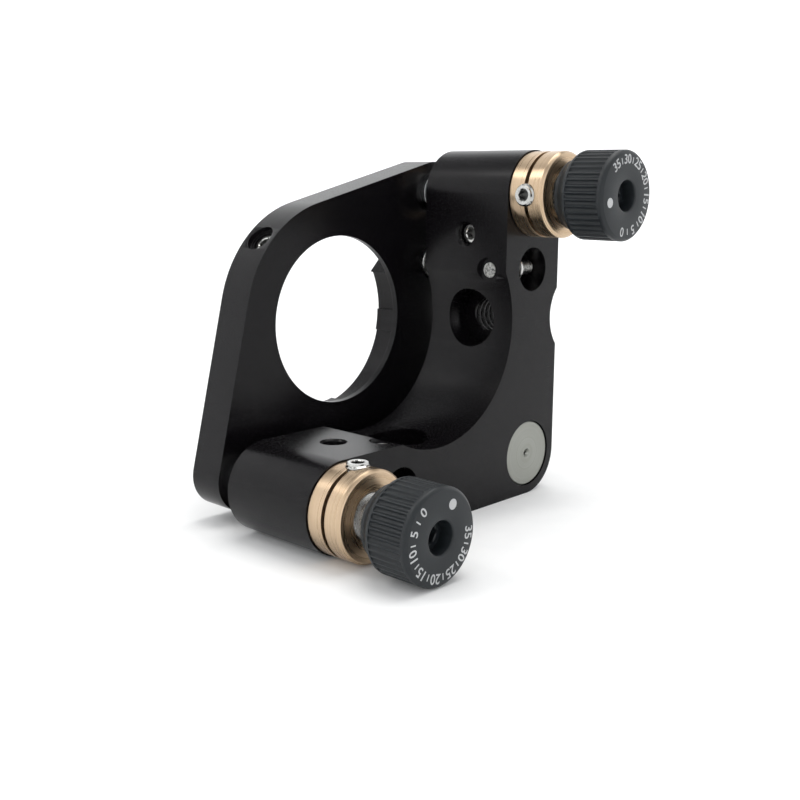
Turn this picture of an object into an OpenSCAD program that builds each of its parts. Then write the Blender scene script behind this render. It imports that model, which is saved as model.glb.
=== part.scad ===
// Kinematic mirror mount for a one inch optic, in millimetres.
// The origin is on the optic bore's axis, at the lip that the optic rests on.
// +Y is the optic side, the knobs are at the back (-Y), and +Z is up.
// The mount is a mirror image of itself across its diagonal, so each top part has a bottom twin.

/* [Plates] */
// Width and height of the back plate
plate_w = 49; // [49:0.5:60]
// Thickness of the back plate
back_t = 14.8; // [14:0.1:18]
// Width of each arm of the back plate
arm_w = 12; // [11.6:0.1:13]
// Gap between the plates when they are parallel
plate_gap = 3.9; // [3.9:0.1:5]
// Thickness of the front plate
front_t = 5.6; // [5.4:0.1:8]
// How far the front plate's edges lie inside the back plate's
front_inset = 1.5; // [0.5:0.1:1.6]
// Distance from the bore's axis to the right and bottom faces
bore_offset = 25.6; // [25.4:0.1:27]
// Radius of the round cut between the back plate's arms
concave_r = 15.25; // [14.8:0.05:16]

/* [Optic bore] */
// Radius of the bore that holds the optic
optic_r = 12.75; // [12.5:0.05:13]
// Width of the lip's ledge
lip_w = 1.05; // [0.75:0.05:1.75]
// Thickness of the lip
lip_t = 0.9; // [0.7:0.1:1.5]
// How much the relieved stretches of the bore are wider
relief_t = 0.65; // [0.3:0.05:1]
// Wall outside the bore, at the round lobe
lobe_wall = 3.95; // [3.5:0.05:5]
// Chamfer at the bore's mouth
bore_chamfer = 0.4; // [0.1:0.1:0.8]
// Width of the notch beside the bore
notch_w = 8.4; // [6:0.1:10]
// How far the notch reaches outside the bore
notch_depth = 3.05; // [1.75:0.05:3.5]

/* [Adjusters] */
// Radius of the adjuster screw's shaft
screw_r = 2.95; // [2.6:0.05:3.1]
// Running clearance of the screw in its bushing
screw_gap = 0.05; // [0.02:0.01:0.09]
// Wall of the bushing's barrel
barrel_wall = 0.98; // [0.8:0.02:1.1]
// Radius of the bushing's collar
collar_r = 5.8; // [5.4:0.1:6]
// Length of the bushing's collar
collar_len = 5.4; // [4.5:0.1:7]
// Width of the slit across the collar
slit_w = 0.6; // [0.3:0.05:0.8]
// Web that the slit leaves on the side away from the lock screw
slit_web = 1.2; // [0.8:0.1:1.6]
// Radius of the adjuster's tip ball
tip_ball_r = 2; // [1.8:0.05:2.2]
// Gap between the collar and the top knob at rest
knob_gap = 1.1; // [1.1:0.1:6]
// Gap between a ball and its seat
ball_gap = 0.03; // [0.02:0.01:0.06]

/* [Knobs] */
// Radius over the flutes
knob_r = 5.87; // [5.5:0.01:6.6]
// Radius of the neck beside the bushing
knob_neck_r = 4.65; // [4.2:0.05:4.9]
// Length of the whole knob
knob_len = 8.25; // [8:0.05:9]
// Number of flutes
flute_count = 42; // [24:1:48]
// Radius of each flute
flute_r = 0.27; // [0.2:0.01:0.3]
// Radius of the key hole in the knob's face
key_hole_r = 2; // [1.6:0.1:2.3]

/* [Pivot and seats] */
// Radius of the pivot's steel plug
plug_r = 4.78; // [4.3:0.01:4.9]
// Radius of the pivot ball
pivot_ball_r = 2.5; // [2.4:0.05:2.7]
// How far the plug and the cone seat stand out of their plates
cone_proud = 0.45; // [0.35:0.05:0.6]
// Radius of the hardened seats
seat_r = 2.98; // [2.8:0.02:3.2]
// Depth of the seats' pockets in the front plate
seat_depth = 2.6; // [2.4:0.1:3]
// How far the grooved seat stands out of the front plate
groove_proud = 0.85; // [0.75:0.05:1]
// How far the flat seat stands out of the front plate
flat_proud = 1.13; // [0.9:0.01:1.2]

/* [Springs and pins] */
// Radius of the spring holes
spring_bore_r = 2.7; // [2.5:0.05:2.75]
// Radius of the spring hole's wider mouth
spring_mouth_r = 3.05; // [2.8:0.05:3.3]
// Depth of the wider mouth
spring_mouth_depth = 3.1; // [2.8:0.1:3.4]
// Mean radius of the spring's coil
coil_r = 1.9; // [1.6:0.05:2]
// Diameter of the spring's wire
wire_d = 0.6; // [0.4:0.05:0.7]
// Turns in each half of the coil
half_turns = 9; // [6:1:10]
// Radius of the pins that the springs hook on
pin_r = 1.1; // [0.8:0.05:1.2]
// Depth of the pins below the back plate's rear face
pin_depth = 3.4; // [2.5:0.1:3.5]
// Depth of the spring pockets in the front plate
pocket_depth = 4.3; // [4:0.1:4.5]

/* [Fasteners and fixing holes] */
// Radius of the small set screws
set_r = 1.48; // [1.2:0.02:1.5]
// Thread radius of the fixing holes
fixing_r = 2.5; // [2:0.1:2.6]
// Radius of the fixing holes' counterbores
counterbore_r = 4.15; // [3.8:0.05:4.3]
// Length of thread at each fixing hole
fixing_len = 4.9; // [4.5:0.1:6]
// Radius of the saddle grooves, for a half inch post
saddle_r = 6.35; // [5:0.05:8]
// Depth of the saddle grooves
saddle_depth = 1.5; // [0.8:0.1:1.6]

/* [Hidden] */
$fn = 64;

// Fit of pressed or slipped-in pieces, and how far a cut runs past a face
slip = 0.02;
past = 0.5;

// Small screws and pins
set_edge = 0.2;
set_mouth = 0.3;
set_socket_r = 0.55 * set_r;
set_socket_depth = 1.1;
pin_edge = 0.2;

// Faces along Y
front_face = front_t - lip_t;
front_rear = -lip_t;
back_face = front_rear - plate_gap;
back_rear = back_face - back_t;
back_mid = back_face - back_t / 2;
pivot_y = front_rear - plate_gap / 2;

// Axes across the plates, as [x, z]
arm_mid = bore_offset - arm_w / 2;
adjuster_at = [arm_mid, plate_w - bore_offset - arm_w / 2];
pivot_at = [arm_mid, -arm_mid];
spring_wall = 0.2;
spring_at = [arm_mid, counterbore_r + spring_bore_r + spring_wall];
arm_inner = bore_offset - arm_w;

// Adjusters
bush_bore_r = screw_r + screw_gap;
barrel_r = bush_bore_r + barrel_wall;
collar_rear = back_rear - collar_len;
collar_chamfer = 0.35;
collar_edge = 0.15;
bore_mouth = 0.4;
bush_screw_off = barrel_r + slip + set_r;
bush_screw_recess = 1.2;
bush_screw_len = 6;
lock_proud = 0.5;
lock_stop = 0.5;
lock_len = collar_r + lock_proud - bush_bore_r - lock_stop;
ball_in_screw = 0.5;
ball_y = [pivot_y, front_rear - flat_proud - tip_ball_r - ball_gap];
screw_reach = pivot_y - collar_rear + knob_gap + knob_len;
screw_end = 2;
tip_chamfer = 0.45;
key_af_r = 1.4;
key_depth = 2.5;

// Knob
knob_cone_start = 0.6;
knob_cone_end = 2.1;
flute_start = 2.5;
flute_end = 7.35;
knob_chamfer = 0.35;
key_chamfer = 0.25;
flute_sink = 0.03;

// Front plate
corner_r = arm_w / 2 - front_inset;
lip_r = optic_r - lip_w;
lobe_r = optic_r + lobe_wall;
notch_angle = 45;
reliefs = [[0, 26], [-76, -14], [-116, -90]];
optic_screw_angle = 135;
optic_screw_y = front_face - front_t / 2;
optic_screw_len = 2.5;
optic_screw_recess = 0.8;
optic_mouth_r = 2;
tip_back = 0.45;
tip_r = 1;
tip_in_screw = 0.7;
tip_edge = 0.15;

// Seats and pins
plug_recess = 0.15;
dimple_r = 0.7;
plug_edge = 0.3;
plug_rear_edge = 0.2;
rear_pin_y = back_rear + pin_depth;
pin_recess = 0.6;
pin_mouth_r = 1.75;
rear_pin_floor = 1.5;
hook_gap = 0.06;
hook_r = pin_r + wire_d / 2 + hook_gap;
hook_floor = 0.34;
front_pin_y = front_rear + pocket_depth - hook_floor - hook_r - wire_d / 2;
front_pin_len = 7.6;
front_pin_recess = 0.3;
hook_lead = 1.5;
hook_sweep = 250;
hook_step = 25;
lead_bend = 0.75;
lead_steps = 5;
coil_steps = 12;
wire_sides = 6;

// Colours
BLACK = [0.09, 0.095, 0.1];
KNOB = [0.15, 0.17, 0.2];
BRASS = [0.76, 0.62, 0.4];
STEEL = [0.72, 0.73, 0.74];
NYLON = [0.92, 0.92, 0.88];

// ---- placing and turning ----

// The bottom unit is the top one mirrored across the mount's diagonal
module unit(bottom) {
    if (bottom) mirror([1, 0, 1]) children();
    else children();
}
module at(p, y = 0) translate([p.x, y, p.y]) children();
module rod_y(y0, y1, r) translate([0, y0, 0]) rotate([-90, 0, 0]) cylinder(h = y1 - y0, r = r);
module rod_x(x0, x1, r) translate([x0, 0, 0]) rotate([0, 90, 0]) cylinder(h = x1 - x0, r = r);
module turned_y(points) rotate([-90, 0, 0]) rotate_extrude() polygon(points);
module turned_x(points) rotate([0, 90, 0]) rotate_extrude() polygon(points);
module slab(y0, y1) translate([0, y1, 0]) rotate([90, 0, 0]) linear_extrude(y1 - y0) children();
module box2(p, q) translate(p) square(q - p);

// ---- back plate ----

module back_outline() {
    a = adjuster_at;
    p = pivot_at;
    b = [-a.y, -a.x];
    difference() {
        union() {
            box2([arm_inner, p.y], [bore_offset, a.y]);
            box2([b.x, -bore_offset], [p.x, -arm_inner]);
            box2([0, -arm_inner], [arm_inner, 0]);
            for (c = [a, p, b]) translate(c) circle(arm_w / 2);
        }
        circle(concave_r);
    }
}

// Everything drilled into one arm, drawn for the top unit
module arm_holes() {
    at(adjuster_at) rod_y(back_rear - past, back_face + past, barrel_r + slip);
    at(spring_at) rod_y(back_rear - past, back_face + past, spring_bore_r);
    at(spring_at) rod_y(back_rear - past, back_rear + spring_mouth_depth, spring_mouth_r);
    // screw that locks the bushing, beside its barrel
    at([0, adjuster_at.y - bush_screw_off], back_mid) {
        depth = bush_screw_recess + bush_screw_len;
        rod_x(arm_inner - past, arm_inner + depth, set_r + slip);
        turned_x([[0, arm_inner - past], [set_r + slip + set_mouth + past, arm_inner - past],
                  [set_r + slip, arm_inner + set_mouth], [0, arm_inner + set_mouth]]);
    }
    // cross hole of the spring's pin, with a wide mouth
    at([0, spring_at.y], rear_pin_y) {
        rod_x(arm_inner - past, bore_offset - rear_pin_floor, pin_r + slip);
        rod_x(arm_inner - past, arm_inner + pin_recess, pin_mouth_r);
    }
    // fixing hole and its saddle groove
    at([0, 0], back_mid) {
        rod_x(arm_inner - past, bore_offset - saddle_depth - fixing_len, counterbore_r);
        rod_x(arm_inner, bore_offset + past, fixing_r);
    }
    at([bore_offset - saddle_depth + saddle_r, 0]) rod_y(back_rear - past, back_face + past, saddle_r);
}

module back_plate() {
    color(BLACK) difference() {
        slab(back_rear, back_face) back_outline();
        unit(false) arm_holes();
        unit(true) arm_holes();
        at(pivot_at) rod_y(back_rear - past, back_face + past, plug_r + slip);
    }
}

// ---- front plate ----

// Unit normal of the line that touches two circles on the same side
function touch_normal(c1, r1, c2, r2) =
    let (d = c2 - c1, u = d / norm(d), k = (r1 - r2) / norm(d))
    u * k + [u.y, -u.x] * sqrt(1 - k * k);
function across(p) = [-p.y, -p.x];

module front_outline() {
    a = adjuster_at;
    p = pivot_at;
    n = touch_normal(a, corner_r, [0, 0], lobe_r);
    polygon([
        a + corner_r * n, lobe_r * n, lobe_r * across(n), across(a + corner_r * n),
        across(a) - [0, corner_r], p - [0, corner_r], p + [corner_r, 0], a + [corner_r, 0]
    ]);
    for (c = [a, p, across(a)]) translate(c) circle(corner_r);
    circle(lobe_r);
}

// Ring sector between two angles, counted from +X towards +Z
module sector(r0, r1, from, to) {
    rotate([0, -from, 0]) rotate([90, 0, 0]) translate([0, 0, -front_face - past])
        rotate_extrude(angle = to - from) box2([r0, 0], [r1, front_face + past]);
}

module optic_bore() {
    rod_y(-lip_t - past, front_face, lip_r);
    rod_y(0, front_face + past, optic_r);
    turned_y([[0, front_face - bore_chamfer], [optic_r, front_face - bore_chamfer],
              [optic_r + bore_chamfer + past, front_face + past], [0, front_face + past]]);
    for (r = reliefs) sector(lip_r, optic_r + relief_t, r[0], r[1]);
    rotate([0, -notch_angle, 0]) translate([lip_r, 0, -notch_w / 2])
        cube([optic_r + notch_depth - lip_r, front_face + past, notch_w]);
}

module front_arm_holes() {
    at(spring_at) rod_y(front_rear - past, front_rear + pocket_depth, spring_bore_r);
    at([0, spring_at.y], front_pin_y) {
        edge = bore_offset - front_inset;
        rod_x(edge - front_pin_recess - front_pin_len, edge + past, pin_r + slip);
    }
}

// Along the optic screw: x runs outwards from the bore's axis
module on_optic_screw() translate([0, optic_screw_y, 0]) rotate([0, -optic_screw_angle, 0]) children();

module front_plate() {
    color(BLACK) difference() {
        slab(front_rear, front_face) front_outline();
        optic_bore();
        for (c = [adjuster_at, across(adjuster_at), pivot_at])
            at(c) rod_y(front_rear - past, front_rear + seat_depth, seat_r + slip);
        unit(false) front_arm_holes();
        unit(true) front_arm_holes();
        on_optic_screw() {
            rod_x(lip_r, lobe_r + past, set_r + slip);
            rod_x(lobe_r - optic_screw_recess, lobe_r + past, optic_mouth_r);
        }
    }
}

// ---- adjusters, drawn for the top unit with its axis on Y ----

module bushing() {
    color(BRASS) difference() {
        turned_y([
            [bush_bore_r, back_face], [barrel_r, back_face], [barrel_r, back_rear],
            [collar_r - collar_edge, back_rear], [collar_r, back_rear - collar_edge],
            [collar_r, collar_rear + collar_chamfer], [collar_r - collar_chamfer, collar_rear],
            [bush_bore_r + bore_mouth, collar_rear], [bush_bore_r, collar_rear + bore_mouth]
        ]);
        translate([-collar_r - past, back_rear - collar_len / 2 - slit_w / 2, -collar_r - past])
            cube([2 * collar_r - slit_web + past, slit_w, 2 * (collar_r + past)]);
        translate([0, back_rear - collar_len / 2, 0]) rod_x(-collar_r - past, 0, set_r + slip);
    }
}

// Socket set screw from x0 to x1, with its key socket at the x0 end
module set_screw(x0, x1) {
    face_r = set_r - set_edge;
    color(STEEL) difference() {
        turned_x([[0, x0], [face_r, x0], [set_r, x0 + set_edge],
                  [set_r, x1 - set_edge], [face_r, x1], [0, x1]]);
        translate([x0 - past, 0, 0]) rotate([0, 90, 0])
            cylinder(h = set_socket_depth + past, r = set_socket_r, $fn = 6);
    }
}

module bushing_screw() {
    start = arm_inner + bush_screw_recess;
    at([0, adjuster_at.y - bush_screw_off], back_mid) set_screw(start, start + bush_screw_len - slip);
}

module lock_screw() {
    start = -collar_r - lock_proud;
    at(adjuster_at, back_rear - collar_len / 2) set_screw(start, start + lock_len);
}

module adjuster_screw(centre_y) {
    tip = centre_y + ball_in_screw;
    end = centre_y - screw_reach + screw_end;
    color(STEEL) difference() {
        rotate([-90, 0, 0]) rotate_extrude() difference() {
            polygon([[0, end], [screw_r - tip_chamfer, end], [screw_r, end + tip_chamfer],
                     [screw_r, tip - tip_chamfer], [screw_r - tip_chamfer, tip], [0, tip]]);
            translate([0, centre_y]) circle(tip_ball_r + slip);
        }
        translate([0, end - past, 0]) rotate([-90, 0, 0])
            cylinder(h = key_depth + past, r = key_af_r, $fn = 6);
    }
}

module tip_ball(centre_y) color(STEEL) translate([0, centre_y, 0]) sphere(tip_ball_r);

module knob(centre_y) {
    face = centre_y - screw_reach;
    neck = face + knob_len;
    color(KNOB) difference() {
        turned_y([
            [key_hole_r, face + key_chamfer], [key_hole_r + key_chamfer, face],
            [knob_r - knob_chamfer, face], [knob_r, face + knob_chamfer],
            [knob_r, neck - knob_cone_end], [knob_neck_r, neck - knob_cone_start],
            [knob_neck_r, neck], [screw_r + slip, neck],
            [screw_r + slip, face + screw_end], [key_hole_r, face + screw_end]
        ]);
        for (i = [0:flute_count - 1]) rotate([0, i * 360 / flute_count, 0])
            translate([knob_r + flute_sink, 0, 0]) rod_y(neck - flute_end, neck - flute_start, flute_r);
    }
}

// ---- pivot and seats ----

// Depth of a 90 degree cone or groove in which a ball of radius r just seats
function cone_depth(r, ball_off) = r * sqrt(2) - ball_off + ball_gap * sqrt(2);

module pivot_plug() {
    face = back_face + cone_proud;
    rear = back_rear + plug_recess;
    depth = cone_depth(pivot_ball_r, pivot_y - face);
    color(STEEL) at(pivot_at) turned_y([
        [0, face - depth], [depth, face], [plug_r - plug_edge, face], [plug_r, face - plug_edge],
        [plug_r, rear + plug_rear_edge], [plug_r - plug_rear_edge, rear],
        [dimple_r, rear], [0, rear + dimple_r]
    ]);
}

module pivot_ball() color(STEEL) at(pivot_at, pivot_y) sphere(pivot_ball_r);

module seat_blank(proud) rod_y(front_rear - proud, front_rear + seat_depth, seat_r);

module cone_seat() {
    face = front_rear - cone_proud;
    depth = cone_depth(pivot_ball_r, face - pivot_y);
    color(STEEL) at(pivot_at) turned_y([
        [0, face + depth], [depth, face], [seat_r, face],
        [seat_r, front_rear + seat_depth], [0, front_rear + seat_depth]
    ]);
}

// Its groove points at the pivot
module groove_seat() {
    face = front_rear - groove_proud;
    depth = cone_depth(tip_ball_r, face - ball_y[0]);
    color(STEEL) at(adjuster_at) difference() {
        seat_blank(groove_proud);
        translate([0, 0, -seat_r - past]) linear_extrude(2 * (seat_r + past))
            polygon([[-depth - past, face - past], [depth + past, face - past], [0, face + depth]]);
    }
}

module flat_seat() color(STEEL) at(across(adjuster_at)) seat_blank(flat_proud);

// ---- springs ----

// One end hook and half the coil, as points along the wire; u runs along the spring
coil_end = (front_pin_y - rear_pin_y) / 2 - hook_lead;
function coil_point(t) =
    let (turn = 360 * half_turns * t) [coil_r * cos(turn), coil_end * t, coil_r * sin(turn)];
function lead_point(s) =
    let (turn = 90 * (2 * s - s * s), r = coil_r + (hook_r - coil_r) * s)
    [r * cos(turn), coil_end + hook_lead * ((1 - lead_bend) * s + lead_bend * s * s), r * sin(turn)];
function hook_point(turn) = [0, coil_end + hook_lead + hook_r * sin(turn), hook_r * cos(turn)];
half_wire = concat(
    [for (i = [1:half_turns * coil_steps]) coil_point(i / (half_turns * coil_steps))],
    [for (i = [1:lead_steps]) lead_point(i / lead_steps)],
    [for (turn = [hook_step:hook_step:hook_sweep]) hook_point(turn)]
);
function flipped(p) = [p.x, -p.y, -p.z];
wire = concat(
    [for (i = [len(half_wire) - 1:-1:0]) flipped(half_wire[i])], [[coil_r, 0, 0]], half_wire
);

// A ring of points square to the wire at point i, kept level with the coil's radius
function unit_of(v) = v / norm(v);
function wire_ring(i) =
    let (
        last = len(wire) - 1,
        along = unit_of(wire[min(i + 1, last)] - wire[max(i - 1, 0)]),
        hooked = abs(wire[i].y) > coil_end,
        up = hooked ? [1, 0, 0] : unit_of([0, 1, 0] - along * along.y),
        side = unit_of(cross(along, up)),
        over = cross(side, along)
    )
    [for (k = [0:wire_sides - 1])
        wire[i] + wire_d / 2 * (side * cos(k * 360 / wire_sides) + over * sin(k * 360 / wire_sides))];

module spring() {
    rings = len(wire);
    points = [for (i = [0:rings - 1]) each wire_ring(i)];
    walls = [for (i = [0:rings - 2], k = [0:wire_sides - 1])
        let (a = i * wire_sides + k, b = i * wire_sides + (k + 1) % wire_sides)
        each [[a, b, b + wire_sides], [a, b + wire_sides, a + wire_sides]]];
    start = [for (k = [wire_sides - 1:-1:0]) k];
    end = [for (k = [0:wire_sides - 1]) (rings - 1) * wire_sides + k];
    color(STEEL) at(spring_at, (front_pin_y + rear_pin_y) / 2)
        polyhedron(points, concat([start, end], walls), convexity = 10);
}

// ---- pins ----

module pin(x0, x1) {
    face_r = pin_r - pin_edge;
    color(STEEL) turned_x([[0, x0], [face_r, x0], [pin_r, x0 + pin_edge],
                           [pin_r, x1 - pin_edge], [face_r, x1], [0, x1]]);
}
module rear_pin()
    at([0, spring_at.y], rear_pin_y) pin(arm_inner + pin_recess, bore_offset - rear_pin_floor - slip);
module front_pin() {
    outer = bore_offset - front_inset - front_pin_recess;
    at([0, spring_at.y], front_pin_y) pin(outer - front_pin_len + slip, outer);
}

// ---- optic screw ----

optic_screw_out = lobe_r - optic_screw_recess;
module optic_set_screw() {
    inner = optic_screw_out - optic_screw_len;
    color(STEEL) difference() {
        on_optic_screw() mirror([1, 0, 0]) set_screw(-optic_screw_out, -inner);
        on_optic_screw() rod_x(inner - past, inner + tip_in_screw, tip_r + slip);
    }
}
module optic_screw_tip() {
    inner = optic_screw_out - optic_screw_len;
    color(NYLON) on_optic_screw() turned_x([
        [0, optic_r + tip_back], [tip_r - tip_edge, optic_r + tip_back],
        [tip_r, optic_r + tip_back + tip_edge],
        [tip_r, inner + tip_in_screw], [0, inner + tip_in_screw]
    ]);
}

// ---- the pieces ----

back_plate();
front_plate();
at(adjuster_at) bushing();  // bushing_top
unit(true) at(adjuster_at) bushing();  // bushing_bottom
bushing_screw();  // bushing_screw_top
unit(true) bushing_screw();  // bushing_screw_bottom
lock_screw();  // lock_screw_top
unit(true) lock_screw();  // lock_screw_bottom
at(adjuster_at) adjuster_screw(ball_y[0]);  // adjuster_screw_top
at(across(adjuster_at)) adjuster_screw(ball_y[1]);  // adjuster_screw_bottom
at(adjuster_at) knob(ball_y[0]);  // knob_top
at(across(adjuster_at)) knob(ball_y[1]);  // knob_bottom
at(adjuster_at) tip_ball(ball_y[0]);  // tip_ball_top
at(across(adjuster_at)) tip_ball(ball_y[1]);  // tip_ball_bottom
pivot_plug();
pivot_ball();
cone_seat();
groove_seat();
flat_seat();
spring();  // spring_top
unit(true) spring();  // spring_bottom
rear_pin();  // rear_pin_top
unit(true) rear_pin();  // rear_pin_bottom
front_pin();  // front_pin_top
unit(true) front_pin();  // front_pin_bottom
optic_set_screw();
optic_screw_tip();
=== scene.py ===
"""Kinematic mirror mount: finishes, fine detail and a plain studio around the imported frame.

Lengths are written in millimetres and turned into metres where a mesh is made. Turned pieces are
drawn with their axis on Y, as radius and position along the axis, and are then moved to their
place. The studio is written in metres.
"""

from __future__ import annotations

import logging
import math
from collections.abc import Callable, Sequence
from dataclasses import dataclass, field, replace
from enum import Enum

import bmesh
import bpy
from mathutils import Matrix, Vector

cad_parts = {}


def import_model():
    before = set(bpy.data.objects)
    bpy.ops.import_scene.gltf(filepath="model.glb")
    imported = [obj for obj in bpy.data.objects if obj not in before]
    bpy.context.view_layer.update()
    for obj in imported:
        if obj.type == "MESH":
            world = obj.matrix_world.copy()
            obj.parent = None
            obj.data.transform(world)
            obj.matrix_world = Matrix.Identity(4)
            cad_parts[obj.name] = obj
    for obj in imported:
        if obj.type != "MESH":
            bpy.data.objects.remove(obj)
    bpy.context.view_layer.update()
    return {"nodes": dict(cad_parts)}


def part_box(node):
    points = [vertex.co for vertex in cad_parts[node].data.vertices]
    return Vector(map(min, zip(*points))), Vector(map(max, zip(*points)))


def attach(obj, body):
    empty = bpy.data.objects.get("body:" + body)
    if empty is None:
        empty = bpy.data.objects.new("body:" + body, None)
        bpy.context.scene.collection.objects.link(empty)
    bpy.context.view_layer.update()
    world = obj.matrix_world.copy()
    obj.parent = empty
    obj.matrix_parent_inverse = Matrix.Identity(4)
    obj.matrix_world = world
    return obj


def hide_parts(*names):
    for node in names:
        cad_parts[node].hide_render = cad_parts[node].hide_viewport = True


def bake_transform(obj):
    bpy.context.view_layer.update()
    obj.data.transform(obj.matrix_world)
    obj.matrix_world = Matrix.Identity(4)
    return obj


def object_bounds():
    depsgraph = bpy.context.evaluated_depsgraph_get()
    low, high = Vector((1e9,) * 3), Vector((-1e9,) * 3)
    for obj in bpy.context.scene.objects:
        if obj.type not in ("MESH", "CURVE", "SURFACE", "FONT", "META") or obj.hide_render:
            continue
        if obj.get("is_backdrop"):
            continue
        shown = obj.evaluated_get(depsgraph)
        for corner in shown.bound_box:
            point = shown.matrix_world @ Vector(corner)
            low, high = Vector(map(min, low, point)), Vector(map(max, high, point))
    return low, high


LOG = logging.getLogger("mirror_mount")
MM = 0.001
EDGE_LAYER = "edge"
SPUN_MERGE = 1e-8
THREAD_MERGE = 2e-7
CAD_MERGE = 1e-7
FLOOR_MERGE = 1e-6
PLANE_REACH = 1e-9
# Where a thread's root ends and its crest starts and ends, as shares of its pitch.
ROOT_END, CREST_START, CREST_END = 0.12, 0.44, 0.68
# Ranges of the gloss noise that are spread over roughness and over colour.
ROUGH_BAND, TINT_BAND = (0.36, 0.64), (0.4, 0.6)
FLOAT, VECTOR = "NodeSocketFloat", "NodeSocketVector"
# Sockets of a colour Mix node.
MIX_A, MIX_B, MIX_RESULT = 6, 7, 2


class Body(str, Enum):
    """Names of the rigid bodies that the pieces ride on."""

    BASE = "base"
    PIVOT = "pivot"
    FRONT = "front"
    TIP_TOP = "tip_top"
    TIP_BOTTOM = "tip_bottom"
    KNOB_TOP = "adjuster_top"
    KNOB_BOTTOM = "adjuster_bottom"
    LOCK_TOP = "lock_top"
    LOCK_BOTTOM = "lock_bottom"
    OPTIC_TIP = "optic_tip"
    OPTIC_SCREW = "optic_screw"


class Slot(str, Enum):
    """Names of the record's material slots."""

    PLATE = "black_anodised"
    KNOB = "knob_anodised"
    BRONZE = "brass"
    BRIGHT = "bright_steel"
    HARD = "hard_steel"
    PLUG = "plug_steel"
    NYLON = "nylon"


class Look(str, Enum):
    """Names of the finishes."""

    PLATE = "black_anodise"
    KNOB = "knob_anodise"
    INK = "white_ink"
    STEEL = "bright_steel"
    SHAFT = "fine_thread_steel"
    # Dark steel painted inside hex keys as their shade.
    SOCKET = "socket_steel"
    PIN = "pin_steel"
    HARD = "hard_steel"
    WIRE = "spring_wire"
    NYLON = "nylon"
    PLUG = "plug_steel"
    BRONZE_TOP = "turned_bronze_top"
    BRONZE_BOTTOM = "turned_bronze_bottom"


BMesh = bmesh.types.BMesh
Rim = list[bmesh.types.BMEdge]
Material, NodeTree, Socket = bpy.types.Material, bpy.types.NodeTree, bpy.types.NodeSocket
Triple = tuple[float, float, float]
# Radius at an angle round the axis.
Radius = Callable[[float], float]
Profile = Sequence[tuple[float, float]]
Nodes = dict[str, bpy.types.Object]
Palette = dict[Look, Material]


# ---- meshes ----


def along(direction: Vector, origin: Vector) -> Matrix:
    """Place for a turned piece whose +Y is laid along a direction.

    Args:
        direction: where the piece's +Y axis points.
        origin: where the piece's own origin lands.

    Returns:
        The matrix that lays the piece there.
    """
    turn = Vector((0, 1, 0)).rotation_difference(direction.normalized())
    return Matrix.Translation(origin) @ turn.to_matrix().to_4x4()


def spin_chain(points: Sequence[Triple], steps: int, merge: float,
               axis: Triple = (0.0, 1.0, 0.0), advance: float = 0.0) -> BMesh:
    """Spin a chain of points one turn round an axis through the origin.

    Args:
        points: the chain, in metres.
        steps: number of facets round the axis.
        merge: points closer than this become one.
        axis: the axis.
        advance: how far each facet moves along Y.

    Returns:
        The spun mesh.
    """
    bm = bmesh.new()
    line = [bm.verts.new(point) for point in points]
    for a, b in zip(line, line[1:]):
        bm.edges.new((a, b))
    bmesh.ops.spin(
        bm, geom=bm.verts[:] + bm.edges[:], cent=(0, 0, 0), axis=axis, dvec=(0, advance, 0),
        angle=math.tau, steps=steps, use_merge=not advance, use_duplicate=False,
    )
    bmesh.ops.remove_doubles(bm, verts=bm.verts[:], dist=merge)
    return bm


def lathe(profile: Profile, steps: int) -> BMesh:
    """Spin a profile round the Y axis.

    Args:
        profile: (radius, y) points in millimetres; the chain is closed when its ends meet.
        steps: number of facets round the axis.

    Returns:
        The turned mesh, in metres.
    """
    bm = spin_chain([(r * MM, y * MM, 0.0) for r, y in profile], steps, SPUN_MERGE)
    bmesh.ops.recalc_face_normals(bm, faces=bm.faces[:])
    return bm


def helix(root_r: float, crest_r: float, pitch: float, y0: float, y1: float, steps: int) -> BMesh:
    """Make an open helical thread flank that runs from y0 to y1 with level ends.

    Args:
        root_r: radius at the bottom of the thread, in millimetres.
        crest_r: radius at its crest.
        pitch: advance of one turn.
        y0: lower end.
        y1: upper end.
        steps: facets round the axis.

    Returns:
        A tube of thread, open at both ends, in metres.
    """
    shape = ((root_r, 0.0), (root_r, ROOT_END), (crest_r, CREST_START), (crest_r, CREST_END))
    turns_before, turns_spare = 2, 3
    points = [
        (r * MM, (y0 + (turn - turns_before + part) * pitch) * MM, 0.0)
        for turn in range(math.ceil((y1 - y0) / pitch) + turns_spare) for r, part in shape
    ]
    bm = spin_chain(points, steps, THREAD_MERGE, advance=pitch * MM / steps)
    for height, outward in ((y0, -1.0), (y1, 1.0)):
        bmesh.ops.bisect_plane(
            bm, geom=bm.verts[:] + bm.edges[:] + bm.faces[:], dist=PLANE_REACH,
            plane_co=(0, height * MM, 0), plane_no=(0, outward, 0), clear_outer=True,
        )
    bmesh.ops.remove_doubles(bm, verts=bm.verts[:], dist=THREAD_MERGE)
    return bm


def rim_at(bm: BMesh, y: float) -> Rim:
    """Open edges that lie at one height along the axis, in millimetres."""
    near = 1e-6
    return [
        e for e in bm.edges
        if e.is_boundary and all(abs(v.co.y - y * MM) < near for v in e.verts)
    ]


def ring_out(bm: BMesh, rim: Rim, y: float, radius: Radius) -> Rim:
    """Extrude an open rim to a new height and radius.

    Args:
        bm: the mesh.
        rim: the open edges.
        y: new height, in millimetres.
        radius: gives the new radius, in millimetres, for an angle round the axis.

    Returns:
        The new open rim.
    """
    made = bmesh.ops.extrude_edge_only(bm, edges=rim)["geom"]
    for vert in (g for g in made if isinstance(g, bmesh.types.BMVert)):
        angle = math.atan2(vert.co.z, vert.co.x)
        reach = radius(angle) * MM
        vert.co = Vector((reach * math.cos(angle), y * MM, reach * math.sin(angle)))
    return [g for g in made if isinstance(g, bmesh.types.BMEdge) and g.is_boundary]


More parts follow.
